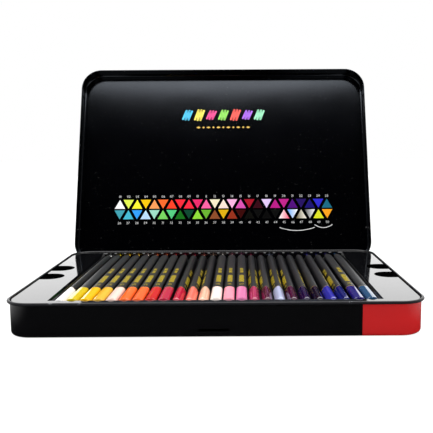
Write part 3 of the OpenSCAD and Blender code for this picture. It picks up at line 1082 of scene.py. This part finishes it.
@dataclass
class TinShell:
    """The sheet-metal box: its lacquer and its hinge wires."""

    lacquer: Lacquer = Lacquer()
    wire: DrawnWire = DrawnWire()
    band_start: float = 96.1 * MM
    band_top: float = 21.75 * MM
    nicks: tuple[float, ...] = (-106.3 * MM, -87.6 * MM, 87.9 * MM)

    def dress(self, nodes: Nodes) -> None:
        """Gives the box and its wires their finishes.

        Args:
            nodes: The frame's nodes by name.
        """
        nodes["tin_base"].data.materials[0] = self.lacquer.banded(
            "base_lacquer", self.band_start, self.band_top, self.nicks)
        nodes["tin_lid"].data.materials[0] = self.lacquer.plain("lid_lacquer")
        for side in ("left", "right"):
            nodes[f"hinge_pin_{side}"].data.materials[0] = self.wire.material(f"wire_{side}")
        log.info("tin: base, lid and two wires dressed")


@dataclass
class Trays:
    """The two formed trays."""

    plastic: FormedPlastic = FormedPlastic()

    def dress(self, nodes: Nodes) -> None:
        """Gives both trays their finish.

        Args:
            nodes: The frame's nodes by name.
        """
        for name in ("lower_tray", "upper_tray"):
            nodes[name].data.materials[0] = self.plastic.material(name, flange_top(name))
            log.info("%s: dressed", name)


@dataclass(frozen=True)
class SoftBox:
    """A lamp with a wide face that looks at the object.

    Its azimuth is in degrees from the front towards the right, and its elevation above the horizon.
    """

    name: str
    size: tuple[float, float]
    radiance: float
    distance: float
    azimuth: float
    elevation: float
    shape: str = "RECTANGLE"

    def hang(self) -> None:
        """Hangs the lamp. Its power is pi times its area times the radiance of its face."""
        data = bpy.data.lights.new(self.name, "AREA")
        data.shape = self.shape
        data.size, data.size_y = self.size
        area = self.size[0] * self.size[1] * (math.pi / 4 if self.shape == "ELLIPSE" else 1.0)
        data.energy = math.pi * area * self.radiance
        a, e = math.radians(self.azimuth), math.radians(self.elevation)
        towards = np.array([math.sin(a) * math.cos(e), -math.cos(a) * math.cos(e), math.sin(e)])
        holder = bpy.data.objects.new(self.name, data)
        holder.location = towards * self.distance
        holder.rotation_euler = (math.pi / 2 - e, 0.0, a)
        holder.visible_camera = False
        bpy.context.scene.collection.objects.link(holder)


@dataclass
class Studio:
    """A white table and room, soft lamps and the camera."""

    camera_at: tuple[float, float, float] = (17.29 * MM, -494.82 * MM, 129.42 * MM)
    pitch: float = math.radians(7.091)
    yaw: float = math.radians(0.027)
    roll: float = math.radians(-0.34)
    sensor: float = 36.0
    focal: float = 633.23
    picture: int = 433
    middle_x: float = 241.37
    ambient: float = 0.55
    room_dark_y: float = -0.35
    room_bright_y: float = 0.25
    table_size: float = 6.0
    table_gap: float = 0.2 * MM
    table_glow: float = 0.86
    table_grey: Colour = (0.8, 0.8, 0.8, 1.0)
    shadow_grey: Colour = (0.35, 0.35, 0.35, 1.0)
    mirrored_dark: float = 0.02
    mirrored_bright: float = 0.9
    bright_behind: tuple[float, float] = (-0.1, 0.12)
    bright_beside: tuple[float, float] = (0.15, 0.24)
    lamps: tuple[SoftBox, ...] = (
        SoftBox("key_box", (1.22, 0.5), 3.95, 0.596, 2, 85, "ELLIPSE"),
        SoftBox("rear_wall", (3.2, 1.3), 1.2, 1.6, 180, 20),
    )

    def camera(self) -> None:
        """Places the camera by its heading, its dip below the horizon and its small roll."""
        cam = bpy.data.cameras.new("camera")
        cam.sensor_width = self.sensor
        cam.lens = self.sensor * self.focal / self.picture
        cam.shift_x = -(self.middle_x - self.picture / 2) / self.picture
        cam.clip_start, cam.clip_end = 0.01, 100.0
        ahead = np.array([math.sin(self.yaw) * math.cos(self.pitch),
                          math.cos(self.yaw) * math.cos(self.pitch), -math.sin(self.pitch)])
        level = np.array([math.cos(self.yaw), -math.sin(self.yaw), 0.0])
        above = np.cross(level, ahead)
        right = math.cos(self.roll) * level + math.sin(self.roll) * above
        up = -math.sin(self.roll) * level + math.cos(self.roll) * above
        columns = np.column_stack([right, up, -ahead, self.camera_at])
        holder = bpy.data.objects.new("camera", cam)
        holder.matrix_world = Matrix([*columns.tolist(), [0, 0, 0, 1]])
        bpy.context.scene.collection.objects.link(holder)
        bpy.context.scene.camera = holder

    def room(self) -> None:
        """A white room: plain to the camera, and in reflections bright behind and dark in front."""
        world = bpy.data.worlds.new("room")
        world.use_nodes = True
        tree = world.node_tree
        tree.nodes.clear()
        add, link = tree.nodes.new, tree.links.new
        ray = add("ShaderNodeLightPath")
        split = add("ShaderNodeSeparateXYZ")
        link(add("ShaderNodeTexCoord").outputs["Generated"], split.inputs[0])
        mirrored = add("ShaderNodeMapRange")
        mirrored.interpolation_type = "SMOOTHSTEP"
        mirrored.inputs["From Min"].default_value = self.room_dark_y
        mirrored.inputs["From Max"].default_value = self.room_bright_y
        link(split.outputs[1], mirrored.inputs["Value"])
        unseen, seen = add("ShaderNodeMix"), add("ShaderNodeMix")
        unseen.inputs[2].default_value = self.ambient
        link(ray.outputs["Is Glossy Ray"], unseen.inputs[0])
        link(mirrored.outputs[0], unseen.inputs[3])
        seen.inputs[3].default_value = 1.0
        link(ray.outputs["Is Camera Ray"], seen.inputs[0])
        link(unseen.outputs[0], seen.inputs[2])
        back = add("ShaderNodeBackground")
        back.inputs["Color"].default_value = WHITE
        link(seen.outputs[0], back.inputs["Strength"])
        link(back.outputs[0], add("ShaderNodeOutputWorld").inputs[0])
        bpy.context.scene.world = world

    def table(self) -> None:
        """A white table top that keeps a soft shadow under the object.

        It glows white to the camera, and its mirror image is dark in front of the object and bright
        beside and behind it.
        """
        mesh = bpy.data.meshes.new("table")
        corners = self.table_size / 2 * np.array([[-1, -1, 0], [1, -1, 0], [1, 1, 0], [-1, 1, 0]])
        mesh.from_pydata((corners - [0, 0, self.table_gap]).tolist(), [], [[0, 1, 2, 3]])
        top = bpy.data.objects.new("table", mesh)
        bpy.context.scene.collection.objects.link(top)
        r = Recipe("table")
        ray = r.add("ShaderNodeLightPath", {})
        x, y, _ = r.axes()
        matt = r.add("ShaderNodeBsdfDiffuse", {"Color": self.table_grey})
        glow = r.add("ShaderNodeEmission", {"Strength": self.table_glow})
        shadowed = r.add("ShaderNodeBsdfDiffuse", {"Color": self.shadow_grey})
        seen = r.add("ShaderNodeAddShader", {0: glow.outputs[0], 1: shadowed.outputs[0]})
        beside = r.ramp(r.calc("ABSOLUTE", x), *self.bright_beside)
        bright = r.calc("MAXIMUM", r.ramp(y, *self.bright_behind), beside)
        strength = r.level(bright, self.mirrored_dark, self.mirrored_bright)
        mirrored = r.add("ShaderNodeEmission", {"Strength": strength})
        unseen = r.add("ShaderNodeMixShader", {0: ray.outputs["Is Glossy Ray"], 1: matt.outputs[0],
                                               2: mirrored.outputs[0]})
        both = r.add("ShaderNodeMixShader", {0: ray.outputs["Is Camera Ray"], 1: unseen.outputs[0],
                                             2: seen.outputs[0]})
        r.add("ShaderNodeOutputMaterial", {0: both.outputs[0]})
        mesh.materials.append(r.material)

    def build(self) -> None:
        """Sets up everything round the object."""
        self.camera()
        self.room()
        self.table()
        for lamp in self.lamps:
            lamp.hang()
        bpy.context.scene.view_settings.view_transform = "Standard"
        log.info("studio: camera, %d lamps, room and table", len(self.lamps))


# The paint of each pencil's dipped end, from the left.
UPPER_COLOURS = {
    "white": "fafafa", "lemon": "d2b80a", "golden yellow": "f5bc08", "amber": "eeb838", "blush": "fad9cc",
    "orange": "fa6e2b", "vermilion": "fa672e", "scarlet": "cc1e1c", "carmine": "ba2442",
    "crimson": "c11f3e", "coral": "f27c6a", "peach": "fac3a6", "ivory": "faece3", "pink": "fa9bae",
    "orchid": "dc7aaa", "raspberry": "ac2f58", "wine": "4e0c2c", "lavender": "b2b8d8", "plum": "420a2e",
    "dark violet": "190838", "aubergine": "14061e", "ultramarine": "302ea0", "navy": "0c1460",
    "indigo": "1e1468", "petrol": "1c4468",
}
LOWER_COLOURS = {
    "teal": "0f7f86", "turquoise": "1aa3b8", "blue": "1e5fb4", "sky": "a9cfe8", "pale mint": "cfeadf",
    "pale green": "bfe3a0", "mint": "8fd6a8", "leaf green": "1d6b3a", "pine": "0f5a52",
    "lime": "a6cf2a", "grass": "2f9a3f", "brown": "6b4226", "ochre": "c9a227", "rust": "b5522a",
    "chestnut": "3a1a18", "black": "2b2b2b", "dark grey": "55575a", "grey": "8a8c8f",
    "light grey": "c4c6c8", "umber": "7d5a3c", "pearl pink": "e8a0b4", "pearl blue": "5b86c9",
    "gold": "c99a2e", "neon yellow": "e6ff3c", "neon orange": "ff7a1f",
}
# The chart's two printed rows, from the left. Two codes joined by > fade into each other.
CHART = (
    {
        "white": "f8f8f8", "lemon": "dcec50", "yellow": "f8f030", "golden yellow": "f8c400",
        "apricot": "f89c58", "orange": "f86828", "vermilion": "f84024", "scarlet": "f82838",
        "red": "f82840", "carmine": "e42868", "pink": "f860a0", "cream": "f0e4c4", "blush": "f8e0d0",
        "light pink": "f8b0dc", "orchid": "d850b0", "crimson": "a81028", "wine": "380414",
        "lavender": "e0c4f4", "magenta": "b81884", "purple": "bc2088", "violet": "50087c",
        "dark violet": "240f60", "indigo": "180f70", "ultramarine": "2c28c8", "petrol": "186880",
    },
    {
        "teal": "40a0b0", "turquoise": "44b8d0", "azure": "309cf8", "sky": "b8dcf8", "mint": "9cdcc4",
        "pale green": "78d460", "sea green": "54cc80", "leaf green": "147018", "pine": "084830",
        "lime": "90dc38", "grass": "68b030", "brown": "8c4c28", "ochre": "e0b008", "rust": "983018",
        "chestnut": "3c0404", "warm black": "0c0c08", "black": "0a0a0a", "deep black": "080808",
        "soft black": "0b0b0b", "pearl pink": "f8f8f8>f84878", "pearl blue": "40a0f8>f8f8f8",
        "gold": "584408>f8f4e4", "silver": "080808>f0f0f0", "neon yellow": "dce024",
        "neon orange": "f8a018",
    },
)
SCRIBBLES = {
    "sky": "58c8f0", "yellow": "f8e868", "pink": "f05898", "green": "98e068", "red": "f86860",
    "violet": "b070e8", "mint": "a0e8c0",
}
# How far each pencil is rolled from lying with an edge up, in degrees, from the left.
UPPER_ROLLS = (
    3, 180, 180, 181, 180, 179, 180, 180, 180, 2, -2, 3, 184,
    180, 180, 0, -2, 1, 2, -3, -2, 2, -2, 181, 180,
)
LOWER_ROLLS = (
    180, 180, 0, 179, 2, 180, 181, -3, 180, 180, 0, 3, 180,
    179, 180, -2, 180, 180, 182, 1, 0, 180, 180, -2, 180,
)


def upper_marks() -> tuple[Mark, ...]:
    """The marked sides of the pencils in the upper tray.

    Returns:
        The sides of each pencil, from the left.
    """
    top, left, right, both, under = Mark.TOP, Mark.LEFT, Mark.RIGHT, Mark.BOTH, Mark.UNDER
    return (left, under, top, top, top, top, top, top, top, right, right, left, top, top, top,
            both, left, both, left, right, under, right, left, top, under)


def marks_by_roll(rolls: tuple[int, ...]) -> tuple[Mark, ...]:
    """The marked side of each pencil: the top where a flat is up, else left and right in turn."""
    sides = (Mark.LEFT, Mark.RIGHT)
    return tuple(Mark.TOP if roll > 90 else sides[index % 2] for index, roll in enumerate(rolls))


def main() -> None:
    """Builds the studio, dresses the frame and adds the printed and stamped pieces."""
    logging.basicConfig(level=logging.INFO, format="%(name)s: %(message)s")
    nodes = frame["nodes"]
    Studio().build()
    TinShell().dress(nodes)
    Trays().dress(nodes)

    ink = Ink().material("lid_ink")
    lid = LidPrint.on_hinge()
    figures = Figures(lid.thickness)
    lid.swatches(CHART, ink)
    lid.numbers(figures, ink)
    lid.arcs(ink)
    lid.scribbles(SCRIBBLES, ink)
    lid.lozenges(ink)

    foil = Foil().material("gold_foil")
    upper = PencilSet("upper", UPPER_COLOURS, UPPER_ROLLS, upper_marks(), 1)
    lower = PencilSet("lower", LOWER_COLOURS, LOWER_ROLLS, marks_by_roll(LOWER_ROLLS),
                      PENCILS_IN_TRAY + 1, carrier="lower_tray")
    for layer in (upper, lower):
        layer.dress(nodes)
    for layer in (upper, lower):
        layer.stamp(figures, foil)


if __name__ == "__main__":
    main()
